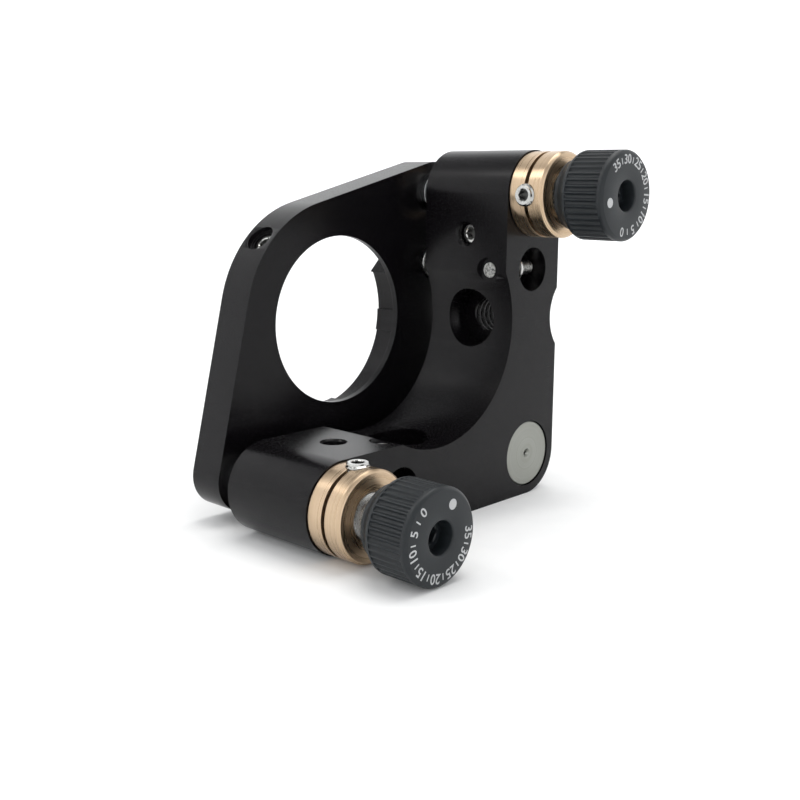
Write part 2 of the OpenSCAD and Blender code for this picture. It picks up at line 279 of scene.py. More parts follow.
def close_through(bm: BMesh, rim: Rim, *rings: tuple[float, Radius]) -> None:
    """Extrude an open rim through rings of (height, radius at an angle), then close it."""
    for y, radius in rings:
        rim = ring_out(bm, rim, y, radius)
    bmesh.ops.edgeloop_fill(bm, edges=rim)


def hexagon(flat_r: float) -> Radius:
    """Radius of a hexagon at an angle, from half its width across flats."""
    sector = math.pi / 3
    return lambda angle: flat_r / math.cos((angle % sector) - sector / 2)


def circle(radius: float) -> Radius:
    """Radius of a circle at any angle."""
    return lambda angle: radius


def new_object(name: str, data: bpy.types.ID) -> bpy.types.Object:
    """Object that holds some data, linked into the scene."""
    made = bpy.data.objects.new(name, data)
    bpy.context.collection.objects.link(made)
    return made


def new_mesh(name: str, bm: BMesh) -> bpy.types.Mesh:
    """Mesh made from a bmesh, which is freed."""
    mesh = bpy.data.meshes.new(name)
    bm.to_mesh(mesh)
    bm.free()
    return mesh


def cad_copy(node: bpy.types.Object) -> BMesh:
    """Merged copy of a CAD node's mesh, with its flat faces joined."""
    bm = bmesh.new()
    bm.from_mesh(node.data)
    flat_within = math.radians(0.4)
    bmesh.ops.remove_doubles(bm, verts=bm.verts[:], dist=CAD_MERGE)
    bmesh.ops.dissolve_limit(
        bm, angle_limit=flat_within, verts=bm.verts[:], edges=bm.edges[:],
        use_dissolve_boundaries=False, delimit=set(),
    )
    return bm


def break_edges(bm: BMesh, width: float, angle: float = 35.0) -> None:
    """Bevel the sharp edges and mark the crest of each as worn.

    Args:
        bm: a closed mesh.
        width: width of the broken edge, in millimetres.
        angle: edges sharper than this, in degrees, are broken.
    """
    sharp = [
        e for e in bm.edges
        if len(e.link_faces) == 2 and e.calc_face_angle(0.0) > math.radians(angle)
    ]
    made = bmesh.ops.bevel(
        bm, geom=sharp, offset=width * MM, offset_type="OFFSET", segments=2, profile=0.5,
        affect="EDGES", clamp_overlap=True, material=-1,
    )
    layer = bm.verts.layers.float.get(EDGE_LAYER) or bm.verts.layers.float.new(EDGE_LAYER)
    broken = set(made["faces"])
    for vert in {v for face in broken for v in face.verts}:
        vert[layer] = float(all(face in broken for face in vert.link_faces))


def finish_piece(name: str, bm: BMesh, materials: Sequence[Material], body: Body | None,
                 nodes: Sequence[str] = (), place: Matrix | None = None,
                 smooth: float = 22.0) -> bpy.types.Object:
    """Turn a finished bmesh into a piece of the mount.

    Args:
        name: the piece's name.
        bm: its mesh, which is freed.
        materials: its finishes, in the order of the faces' material numbers.
        body: the body that it rides on, or None for a piece that is left unattached.
        nodes: CAD nodes that it stands for.
        place: where the mesh goes, if it isn't there yet.
        smooth: angle in degrees under which faces are shaded as one surface.

    Returns:
        The new object, at the origin.
    """
    if place is not None:
        bmesh.ops.transform(bm, matrix=place, verts=bm.verts[:])
    mesh = new_mesh(name, bm)
    mesh.shade_smooth()
    mesh.set_sharp_from_angle(angle=math.radians(smooth))
    for material in materials:
        mesh.materials.append(material)
    piece = new_object(name, mesh)
    if body is not None:
        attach(piece, body.value)
        weighted = piece.modifiers.new("flat_faces_first", "WEIGHTED_NORMAL")
        weighted.keep_sharp, weighted.weight = True, 100
    if nodes:
        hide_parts(*nodes)
    LOG.info("%s: %d faces on %s", name, len(mesh.polygons), body.value if body else "two bodies")
    return piece


# ---- finishes ----


@dataclass
class Wiring:
    """Adds and joins the nodes of one node tree."""

    tree: NodeTree

    def add(self, kind: str, **values: object) -> bpy.types.Node:
        """Add a node; a value sets an input by name, or a property of that name.

        Args:
            kind: the node's type.
            **values: input values or properties; underscores in an input's name stand for spaces.

        Returns:
            The node.
        """
        node = self.tree.nodes.new(kind)
        for key, value in values.items():
            label = key.replace("_", " ")
            if hasattr(node, key):
                setattr(node, key, value)
            else:
                node.inputs[label].default_value = value
        return node

    def join(self, source: object, target: Socket) -> None:
        """Link a socket to an input, or set the input to a plain value."""
        if isinstance(source, Socket):
            self.tree.links.new(source, target)
        else:
            target.default_value = source

    def math(self, operation: str, a: object, b: object = 0.0) -> Socket:
        """Add a Math node; each operand is a socket or a number.

        Args:
            operation: the Math node's operation.
            a: first operand.
            b: second operand.

        Returns:
            The result's socket.
        """
        node = self.add("ShaderNodeMath", operation=operation)
        for index, value in enumerate((a, b)):
            self.join(value, node.inputs[index])
        return node.outputs[0]

    def vector(self, operation: str, *operands: object) -> bpy.types.Node:
        """Add a Vector Math node; each operand is a socket or a triple."""
        node = self.add("ShaderNodeVectorMath", operation=operation)
        for value, target in zip(operands, node.inputs):
            self.join(value, target)
        return node

    def mix(self, share: Socket, *colours: object) -> Socket:
        """Add a Mix node for two colours; each is a socket or a triple."""
        node = self.add("ShaderNodeMix", data_type="RGBA")
        self.join(share, node.inputs[0])
        for index, colour in zip((MIX_A, MIX_B), colours):
            self.join((*colour, 1.0) if isinstance(colour, tuple) else colour, node.inputs[index])
        return node.outputs[MIX_RESULT]

    def spread(self, source: Socket, low: float, high: float,
               to_low: float, to_high: float) -> Socket:
        """Map a value from one range to another, clamped.

        Args:
            source: the value.
            low: start of its range.
            high: end of its range.
            to_low: result at the start.
            to_high: result at the end.

        Returns:
            The result's socket.
        """
        node = self.add("ShaderNodeMapRange", From_Min=low, From_Max=high,
                        To_Min=to_low, To_Max=to_high)
        self.join(source, node.inputs["Value"])
        return node.outputs["Result"]


def new_group(name: str, inputs: Sequence[tuple[str, str, float]],
              outputs: Sequence[tuple[str, str]]) -> tuple[NodeTree, Wiring]:
    """Make an empty shader node group with its sockets.

    Args:
        name: the group's name.
        inputs: (name, socket type, default) of each input; vectors ignore the default.
        outputs: (name, socket type) of each output.

    Returns:
        The group and its wiring.
    """
    tree = bpy.data.node_groups.new(name, "ShaderNodeTree")
    for label, kind, default in inputs:
        socket = tree.interface.new_socket(name=label, in_out="INPUT", socket_type=kind)
        if kind == FLOAT:
            socket.default_value = default
    for label, kind in outputs:
        tree.interface.new_socket(name=label, in_out="OUTPUT", socket_type=kind)
    return tree, Wiring(tree)


@dataclass
class Effects:
    """Shader groups that several finishes share."""

    grain: NodeTree = field(init=False)
    wear: NodeTree = field(init=False)
    turned: NodeTree = field(init=False)

    def __post_init__(self) -> None:
        """Build each group once."""
        self.grain = self._grain()
        self.wear = self._wear()
        self.turned = self._turned()

    def _grain(self) -> NodeTree:
        """Fine blasted grain and slow clouds over the whole surface."""
        tree, w = new_group(
            "surface_grain",
            [("Vector", VECTOR, 0.0), ("Grain Scale", FLOAT, 9000.0),
             ("Cloud Scale", FLOAT, 120.0)],
            [("Grain", FLOAT), ("Cloud", FLOAT)],
        )
        start, end = w.add("NodeGroupInput"), w.add("NodeGroupOutput")
        for scale, result, detail in (("Grain Scale", "Grain", 2.0), ("Cloud Scale", "Cloud", 4.0)):
            noise = w.add("ShaderNodeTexNoise", Detail=detail, Roughness=0.55)
            w.join(start.outputs["Vector"], noise.inputs["Vector"])
            w.join(start.outputs[scale], noise.inputs["Scale"])
            w.join(noise.outputs["Fac"], end.inputs[result])
        return tree

    def _wear(self) -> NodeTree:
        """Mask of the rubbed edges, broken up by noise."""
        tree, w = new_group(
            "edge_wear", [("Vector", VECTOR, 0.0), ("Edge", FLOAT, 0.0), ("Amount", FLOAT, 0.5)],
            [("Mask", FLOAT)],
        )
        start, end = w.add("NodeGroupInput"), w.add("NodeGroupOutput")
        noise = w.add("ShaderNodeTexNoise", Scale=700.0, Detail=5.0, Roughness=0.7)
        w.join(start.outputs["Vector"], noise.inputs["Vector"])
        patch = w.spread(noise.outputs["Fac"], 0.38, 0.62, 0.25, 1.0)
        edge = w.math("MULTIPLY", start.outputs["Edge"], patch)
        w.join(w.math("MULTIPLY", edge, start.outputs["Amount"]), end.inputs["Mask"])
        return tree

    def _turned(self) -> NodeTree:
        """Tool marks that run round the Y axis through the vector's origin."""
        tree, w = new_group(
            "turned_marks", [("Vector", VECTOR, 0.0), ("Pitch", FLOAT, 0.00006)],
            [("Marks", FLOAT), ("Streaks", FLOAT)],
        )
        start, end = w.add("NodeGroupInput"), w.add("NodeGroupOutput")
        parts = w.add("ShaderNodeSeparateXYZ")
        w.join(start.outputs["Vector"], parts.inputs[0])
        x, y, z = parts.outputs
        radius = w.math("SQRT", w.math("ADD", w.math("MULTIPLY", x, x), w.math("MULTIPLY", z, z)))
        for result, stretch in (("Marks", 1.0), ("Streaks", 0.22)):
            joined = w.add("ShaderNodeCombineXYZ")
            for axis, value in ((0, radius), (1, y)):
                scaled = w.math("DIVIDE", value, start.outputs["Pitch"])
                w.join(w.math("MULTIPLY", scaled, stretch), joined.inputs[axis])
            noise = w.add("ShaderNodeTexNoise", Scale=1.0, Detail=3.0, Roughness=0.6)
            w.join(joined.outputs[0], noise.inputs["Vector"])
            w.join(noise.outputs["Fac"], end.inputs[result])
        return tree


@dataclass(frozen=True)
class Finish:
    """A metal or plastic surface: its colours, gloss and texture."""

    look: Look
    base: Triple
    second: Triple
    rough_low: float
    rough_high: float
    metallic: float = 0.0
    specular: float = 0.5
    grain_scale: float = 9000.0
    cloud_scale: float = 120.0
    bump: float = 0.05
    bump_depth: float = 0.00001
    worn: Triple | None = None
    wear: float = 0.0
    mottle: float = 0.65
    turned_pitch: float = 0.0
    streak_share: float = 0.6
    axis_at: Triple = (0.0, 0.0, 0.0)
    anisotropic: float = 0.0

    def build(self, effects: Effects) -> Material:
        """Make the material.

        Args:
            effects: the shared shader groups.

        Returns:
            The material.
        """
        material = bpy.data.materials.new(self.look.value)
        material.use_nodes = True
        w = Wiring(material.node_tree)
        w.tree.nodes.clear()
        out = w.add("ShaderNodeOutputMaterial")
        shader = w.add("ShaderNodeBsdfPrincipled", Metallic=self.metallic,
                       Specular_IOR_Level=self.specular)
        w.join(shader.outputs[0], out.inputs["Surface"])
        place = w.add("ShaderNodeTexCoord").outputs["Object"]
        relief, gloss = self._texture(w, effects, place, shader)
        w.join(w.spread(gloss, *ROUGH_BAND, self.rough_low, self.rough_high),
               shader.inputs["Roughness"])
        w.join(self._colour(w, effects, place, gloss), shader.inputs["Base Color"])
        bump = w.add("ShaderNodeBump", Strength=self.bump, Distance=self.bump_depth)
        w.join(relief, bump.inputs["Height"])
        w.join(bump.outputs[0], shader.inputs["Normal"])
        return material

    def _texture(self, w: Wiring, effects: Effects, place: Socket,
                 shader: bpy.types.Node) -> tuple[Socket, Socket]:
        """Lay the grain, or tool marks on a turned finish.

        Args:
            w: the material's wiring.
            effects: the shared shader groups.
            place: the object's coordinates.
            shader: the Principled shader.

        Returns:
            The height of the relief, and the noise that varies gloss and colour.
        """
        grain = w.add("ShaderNodeGroup", node_tree=effects.grain, Grain_Scale=self.grain_scale,
                      Cloud_Scale=self.cloud_scale)
        w.join(place, grain.inputs["Vector"])
        fine, cloud = grain.outputs["Grain"], grain.outputs["Cloud"]
        if not self.turned_pitch:
            return fine, w.math("ADD", w.math("MULTIPLY", fine, 1.0 - self.mottle),
                                w.math("MULTIPLY", cloud, self.mottle))
        centred = w.add("ShaderNodeMapping", vector_type="POINT",
                        Location=[-c for c in self.axis_at])
        w.join(place, centred.inputs["Vector"])
        turned = w.add("ShaderNodeGroup", node_tree=effects.turned, Pitch=self.turned_pitch)
        w.join(centred.outputs[0], turned.inputs["Vector"])
        shader.inputs["Anisotropic"].default_value = self.anisotropic
        self._lay_round(w, centred.outputs[0], shader)
        streaks = w.math("MULTIPLY", turned.outputs["Streaks"], self.streak_share)
        return turned.outputs["Marks"], w.math(
            "ADD", streaks, w.math("MULTIPLY", cloud, 1.0 - self.streak_share))

    def _colour(self, w: Wiring, effects: Effects, place: Socket, gloss: Socket) -> Socket:
        """Vary the colour with the gloss, and rub it through at the worn edges.

        Args:
            w: the material's wiring.
            effects: the shared shader groups.
            place: the object's coordinates.
            gloss: the noise that varies the colour.

        Returns:
            The colour.
        """
        tint = w.mix(w.spread(gloss, *TINT_BAND, 0.0, 1.0), self.base, self.second)
        if self.worn is None:
            return tint
        edge = w.add("ShaderNodeAttribute", attribute_name=EDGE_LAYER)
        wear = w.add("ShaderNodeGroup", node_tree=effects.wear, Amount=self.wear)
        w.join(place, wear.inputs["Vector"])
        w.join(edge.outputs["Fac"], wear.inputs["Edge"])
        return w.mix(wear.outputs["Mask"], tint, self.worn)

    @staticmethod
    def _lay_round(w: Wiring, centred: Socket, shader: bpy.types.Node) -> None:
        """Stretch the highlights across tool marks that run round the Y axis.

        Args:
            w: the material's wiring.
            centred: the object's coordinates, counted from a point on the axis.
            shader: the Principled shader.
        """
        round_axis = w.vector("CROSS_PRODUCT", (0.0, 1.0, 0.0), centred)
        lay = w.vector("NORMALIZE", round_axis.outputs[0])
        world = w.add("ShaderNodeVectorTransform", vector_type="VECTOR",
                      convert_from="OBJECT", convert_to="WORLD")
        w.join(lay.outputs[0], world.inputs[0])
        surface = w.add("ShaderNodeNewGeometry")
        across = w.vector("CROSS_PRODUCT", surface.outputs["Normal"], world.outputs[0])
        w.join(across.outputs[0], shader.inputs["Tangent"])


# ---- plates ----


@dataclass
class Plates:
    """Back and front plate with broken edges and cut threads."""

    palette: Palette
    edge: float = 0.12
    smooth: float = 50.0
    fixing_pitch: float = 1.0
    fixing_major_r: float = 2.95
    fixing_minor_r: float = 2.4
    fixing_len: float = 4.9
    saddle_depth: float = 1.5
    past_inner_end: float = 0.4
    past_outer_end: float = 0.9
    tool_cap: float = 0.1
    thread_facets: int = 48

    def build(self, nodes: Nodes) -> None:
        """Make both plates from their CAD solids."""
        for name, body in (("back_plate", Body.BASE), ("front_plate", Body.FRONT)):
            bm = cad_copy(nodes[name])
            break_edges(bm, self.edge)
            piece = finish_piece(f"{name}_dressed", bm, [self.palette[Look.PLATE]], body,
                                 [name], smooth=self.smooth)
            if body is Body.BASE:
                self._cut_threads(piece)

    def _cut_threads(self, plate: bpy.types.Object) -> None:
        """Cut a helical thread into both fixing holes of the back plate."""
        low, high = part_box("back_plate")
        centre = Vector((0, (low[1] + high[1]) / 2, 0))
        outer = high[0] / MM - self.saddle_depth
        for number, out in enumerate((Vector((1, 0, 0)), Vector((0, 0, -1)))):
            cut = plate.modifiers.new("thread", "BOOLEAN")
            tool = self._thread_tool(f"thread_tool_{number}", outer, along(out, centre))
            cut.operation, cut.solver, cut.object = "DIFFERENCE", "EXACT", tool
            bpy.context.view_layer.update()
            ready = plate.evaluated_get(bpy.context.evaluated_depsgraph_get())
            carved = bpy.data.meshes.new_from_object(ready)
            plate.modifiers.remove(cut)
            plate.data = carved
            bpy.data.objects.remove(tool)
        plate.data.name = plate.name

    def _thread_tool(self, name: str, outer: float, place: Matrix) -> bpy.types.Object:
        """Make the closed thread that is cut out of a hole.

        Args:
            name: the tool's name.
            outer: where the hole's outer end lies along its axis.
            place: where the tool goes.

        Returns:
            The tool, to be removed after the cut.
        """
        start, end = outer - self.fixing_len - self.past_inner_end, outer + self.past_outer_end
        bm = helix(self.fixing_minor_r, self.fixing_major_r, self.fixing_pitch, start, end,
                   self.thread_facets)
        for level, step in ((start, -self.tool_cap), (end, self.tool_cap)):
            close_through(bm, rim_at(bm, level), (level + step, circle(self.fixing_minor_r)))
        bmesh.ops.recalc_face_normals(bm, faces=bm.faces[:])
        bmesh.ops.transform(bm, matrix=place, verts=bm.verts[:])
        return new_object(name, new_mesh(name, bm))


# ---- adjusters ----


@dataclass
class Knob:
    """Fluted thumb knob with a printed scale on its face."""

    side: str
    body: Body
    palette: Palette
    dot_angle: float
    flutes: int = 42
    steps_per_flute: int = 10
    flute_r: float = 0.33
    flute_sink: float = 0.03
    flute_start: float = 2.5
    flute_end: float = 7.35
    # Distances of the close rings from a flute's end, inwards.
    flute_rings: tuple[float, ...] = (-0.05, 0.0, 0.07, 0.2)
    # A flute starts at this share of its depth and is full after the run-in.
    run_in: float = 0.2
    run_in_first: float = 0.62
    run_in_share: float = 0.5
    neck_r: float = 4.65
    cone_start: float = 0.6
    cone_end: float = 2.1
    cone_soft: float = 0.05
    cone_before: float = 0.06
    cone_after: float = 0.04
    neck_chamfer: float = 0.12
    shaft_r: float = 2.97
    shaft_chamfer: float = 0.15
    key_hole_r: float = 2.0
    floor_depth: float = 2.0
    # Rounded edges of the face, as radius from the hole or the rim and depth from the face.
    hole_round: Profile = ((0.0, 0.22), (0.06, 0.1), (0.2, 0.02), (0.27, 0.0))
    rim_round: Profile = ((-0.45, 0.0), (-0.33, 0.04), (-0.04, 0.33), (0.0, 0.45))
    smooth: float = 28.0
    dot_r: float = 0.63
    dot_at: float = 4.0
    dot_facets: int = 40
    print_lift: float = 0.012
    scale_r: float = 4.62
    digit_size: float = 1.7
    digit_weight: float = 0.02
    digit_steps: int = 3
    line_w: float = 0.16
    line_len: float = 0.8
    scale_sweep: float = 226.0
    scale_numbers: tuple[str, ...] = ("0", "5", "10", "15", "20", "25", "30", "35")
    centre: Vector = field(init=False)
    face: float = field(init=False)
    neck: float = field(init=False)
    outer_r: float = field(init=False)

    def __post_init__(self) -> None:
        """Take the knob's place and size from the frame."""
        low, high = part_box(f"knob_{self.side}")
        self.centre = Vector(((low[0] + high[0]) / 2, 0.0, (low[2] + high[2]) / 2))
        self.face, self.neck = low[1] / MM, high[1] / MM
        self.outer_r = (high[2] - low[2]) / 2 / MM

    def build(self) -> None:
        """Make the knob and its print."""
        bm = self._turned()
        self._cut_flutes(bm)
        finish_piece(f"knob_{self.side}_dressed", bm, [self.palette[Look.KNOB]], self.body,
                     [f"knob_{self.side}"], Matrix.Translation(self.centre),
                     smooth=self.smooth)
        self._print_scale()

    def _turned(self) -> BMesh:
        """The knob's turned blank, with close rings where the flutes start and stop."""
        face, neck, r, key = self.face, self.neck, self.outer_r, self.key_hole_r
        start, stop = neck - self.flute_start, neck - self.flute_end
        cone_wide, cone_thin = neck - self.cone_end, neck - self.cone_start
        profile = [(key, face + self.floor_depth)]
        profile += [(key + out, face + depth) for out, depth in self.hole_round]
        profile += [(r + out, face + depth) for out, depth in self.rim_round]
        profile += [(r, stop + inwards) for inwards in self.flute_rings]
        profile += [(r, start - inwards) for inwards in reversed(self.flute_rings)]
        profile += [
            (r, cone_wide - self.cone_before), (r - self.cone_soft, cone_wide + self.cone_after),
            (self.neck_r + self.cone_soft, cone_thin - self.cone_after),
            (self.neck_r, cone_thin + self.cone_before), (self.neck_r, neck - self.neck_chamfer),
            (self.neck_r - self.neck_chamfer, neck), (self.shaft_r + self.shaft_chamfer, neck),
            (self.shaft_r, neck - self.shaft_chamfer), (self.shaft_r, face + self.floor_depth),
            (key, face + self.floor_depth),
        ]
        return lathe(profile, self.flutes * self.steps_per_flute)

    def _cut_flutes(self, bm: BMesh) -> None:
        """Push the flutes in: each is the arc of a round cutter that runs along the knob."""
        start, stop = self.neck - self.flute_start, self.neck - self.flute_end
        pitch = math.tau / self.flutes
        skin, ends = 0.03, 0.02
        for vert in bm.verts:
            y = vert.co.y / MM
            reach = math.hypot(vert.co.x, vert.co.z) / MM
            if reach < self.outer_r - skin or not stop - ends < y < start + ends:
                continue
            angle = math.atan2(vert.co.z, vert.co.x)
            aside = ((angle / pitch + 0.5) % 1.0 - 0.5) * pitch * self.outer_r
            inside = self.flute_r**2 - aside**2
            if inside <= 0:
                continue
            along_flute = min(start - y, y - stop) / self.run_in
            share = min(1.0, along_flute * self.run_in_share + self.run_in_first)
            depth = max(0.0, math.sqrt(inside) - self.flute_sink) * share
            vert.co.x *= (self.outer_r - depth) / reach
            vert.co.z *= (self.outer_r - depth) / reach
        bmesh.ops.recalc_face_normals(bm, faces=bm.faces[:])

    def _print_scale(self) -> None:
        """Index dot, and a scale of plain numbers and lines round the far side of the face."""
        bm = bmesh.new()
        spot = Vector((math.cos(self.dot_angle), 0, math.sin(self.dot_angle))) * self.dot_at
        bmesh.ops.create_circle(
            bm, cap_ends=True, radius=self.dot_r * MM, segments=self.dot_facets,
            matrix=Matrix.Translation(spot * MM) @ Matrix.Rotation(math.pi / 2, 4, "X"),
        )
        step = math.radians(self.scale_sweep) / (len(self.scale_numbers) - 1)
        first = self.dot_angle + math.pi - math.radians(self.scale_sweep) / 2
        for index, text in enumerate(self.scale_numbers):
            self._stamp(bm, text, first + step * index)
            if index:
                self._line(bm, first + step * (index - 0.5))
        made = bmesh.ops.extrude_face_region(bm, geom=bm.faces[:])["geom"]
        top = [g for g in made if isinstance(g, bmesh.types.BMVert)]
        bmesh.ops.translate(bm, verts=top, vec=(0, -self.print_lift * MM, 0))
        bmesh.ops.recalc_face_normals(bm, faces=bm.faces[:])
        place = Matrix.Translation(self.centre + Vector((0, self.face * MM, 0)))
        finish_piece(f"knob_print_{self.side}", bm, [self.palette[Look.INK]], self.body,
                     (), place)

    def _on_scale(self, angle: float) -> Matrix:
        """Place on the scale's circle, upright at its top and turned to an angle."""
        turn = Matrix.Rotation(math.pi / 2 - angle, 4, "Y")
        return turn @ Matrix.Translation((0, 0, self.scale_r * MM))

    def _stamp(self, bm: BMesh, text: str, angle: float) -> None:
        """Add a number to the print, its foot towards the axis."""
        curve = bpy.data.curves.new("number", "FONT")
        curve.body, curve.size = text, self.digit_size * MM
        curve.align_x, curve.align_y = "CENTER", "CENTER"
        curve.resolution_u = self.digit_steps
        curve.offset = self.digit_weight * MM
        holder = new_object("number", curve)
        bpy.context.view_layer.update()
        mesh = bpy.data.meshes.new_from_object(
            holder.evaluated_get(bpy.context.evaluated_depsgraph_get())
        )
        mesh.transform(self._on_scale(angle) @ Matrix.Rotation(math.pi / 2, 4, "X"))
        bm.from_mesh(mesh)
        bpy.data.objects.remove(holder)
        bpy.data.curves.remove(curve)
        bpy.data.meshes.remove(mesh)

    def _line(self, bm: BMesh, angle: float) -> None:
        """Add one short radial line to the print."""
        size = Matrix.Diagonal((self.line_w * MM, 1.0, self.line_len * MM, 1.0))
        bmesh.ops.create_grid(
            bm, x_segments=1, y_segments=1, size=0.5,
            matrix=self._on_scale(angle) @ size @ Matrix.Rotation(math.pi / 2, 4, "X"),
        )


@dataclass
class Adjuster:
    """One fine screw: bushing, shaft, knob, tip ball and lock screw."""

    side: str
    knob_body: Body
    tip_body: Body
    lock_body: Body
    lock_out: Vector
    dot_angle: float
    bronze: Look
    palette: Palette
    bushing_edge: float = 0.06
    bushing_sharp: float = 40.0
    pitch: float = 0.25
    thread_depth: float = 0.11
    thread_facets: int = 64
    end_edge: float = 0.4
    end_chamfer: float = 0.45
    ball_socket_r: float = 1.96
    ball_socket_depth: float = 2.2
    ball_floor_r: float = 0.9
    key_flat_r: float = 1.25
    key_mouth: float = 1.16
    key_lead: float = 0.12
    key_depth: float = 2.4
    # How far past the key socket the painted shade reaches.
    key_shade_margin: float = 0.1

    def build(self, nodes: Nodes) -> None:
        """Make every piece of the adjuster."""
        self._bushing(nodes)
        self._shaft()
        Knob(self.side, self.knob_body, self.palette, self.dot_angle).build()
        name = f"tip_ball_{self.side}"
        finish_piece(f"{name}_dressed", cad_copy(nodes[name]), [self.palette[Look.HARD]],
                     self.tip_body, [name], smooth=60.0)
        SetScrew(f"lock_screw_{self.side}", self.lock_out, self.lock_body, self.palette).build()

    def _bushing(self, nodes: Nodes) -> None:
        """Bronze bushing with its split collar."""
        name = f"bushing_{self.side}"
        bm = cad_copy(nodes[name])
        break_edges(bm, self.bushing_edge, self.bushing_sharp)
        finish_piece(f"{name}_dressed", bm, [self.palette[self.bronze]], Body.BASE,
                     [name])

    def _shaft(self) -> None:
        """Threaded shaft with a ball socket in front, and painted shade in the key socket behind.
        """
        name = f"adjuster_screw_{self.side}"
        low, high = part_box(name)
        r = (high[0] - low[0]) / 2 / MM
        end, tip = low[1] / MM, high[1] / MM
        bm = helix(r - self.thread_depth, r, self.pitch, end + self.end_edge, tip - self.end_edge,
                   self.thread_facets)
        close_through(bm, rim_at(bm, tip - self.end_edge), (tip, circle(r - self.end_chamfer)),
                      (tip, circle(self.ball_socket_r)),
                      (tip - self.ball_socket_depth, circle(self.ball_floor_r)))
        key = hexagon(self.key_flat_r)
        close_through(bm, rim_at(bm, end + self.end_edge), (end, circle(r - self.end_chamfer)),
                      (end, circle(self.key_flat_r * self.key_mouth)),
                      (end + self.key_lead, key), (end + self.key_depth, key))
        bmesh.ops.recalc_face_normals(bm, faces=bm.faces[:])
        # Faces near the back end, the key socket among them, take the dark knob finish: painted
        # shade in the recess seen through the knob's key hole.
        key_shade_below = (end + self.key_depth + self.key_shade_margin) * MM
        for face in bm.faces:
            face.material_index = int(face.calc_center_median().y < key_shade_below)
        centre = Matrix.Translation(((low[0] + high[0]) / 2, 0.0, (low[2] + high[2]) / 2))
        finish_piece(f"{name}_dressed", bm, [self.palette[Look.SHAFT], self.palette[Look.KNOB]],
                     self.knob_body, [name], centre, smooth=30.0)


@dataclass
class SetScrew:
    """Small socket set screw with a cut thread; its socket end points out."""

    node: str
    out: Vector
    body: Body
    palette: Palette
    pitch: float = 0.5
    thread_depth: float = 0.2
    thread_facets: int = 48
    edge: float = 0.22
    tip_chamfer: float = 0.32
    key_share: float = 0.5
    key_mouth: float = 1.2
    key_lead: float = 0.1
    key_depth: float = 1.1
    hollow_tip: float = 0.0
    hollow_depth: float = 0.7

    def build(self) -> None:
        """Make the screw where its CAD solid lies."""
        low, high = (Vector(c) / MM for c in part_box(self.node))
        span = high - low
        out = self.out.normalized()
        r = span.y / 2
        across, up = abs(out.x), abs(out.z)
        # A screw that lies askew fills its box with its width as well as its length.
        half = (span.x * across + span.z * up - 4 * r * across * up) / 2
        bm = helix(r - self.thread_depth, r, self.pitch, self.edge - half, half - self.edge,
                   self.thread_facets)
        flat = r * self.key_share
        close_through(bm, rim_at(bm, half - self.edge), (half, circle(r - self.edge)),
                      (half, circle(flat * self.key_mouth)), (half - self.key_lead, hexagon(flat)),
                      (half - self.key_depth, hexagon(flat)))
        tip = [(-half, circle(r - self.tip_chamfer))]
        if self.hollow_tip:
            hollow = circle(self.hollow_tip)
            tip += [(-half, hollow), (self.hollow_depth - half, hollow)]
        close_through(bm, rim_at(bm, self.edge - half), *tip)
        bmesh.ops.recalc_face_normals(bm, faces=bm.faces[:])
        # Faces inside the hex key take the dark socket finish: painted shade for the recess.
        key_shade_r = flat * 1.05
        for face in bm.faces:
            at = face.calc_center_median() / MM
            face.material_index = int(at.y > 0 and math.hypot(at.x, at.z) < key_shade_r)
        finish_piece(f"{self.node}_dressed", bm,
                     [self.palette[Look.STEEL], self.palette[Look.SOCKET]], self.body,
                     [self.node], along(out, (low + high) / 2 * MM), smooth=30.0)


# ---- what lies between and inside the plates ----


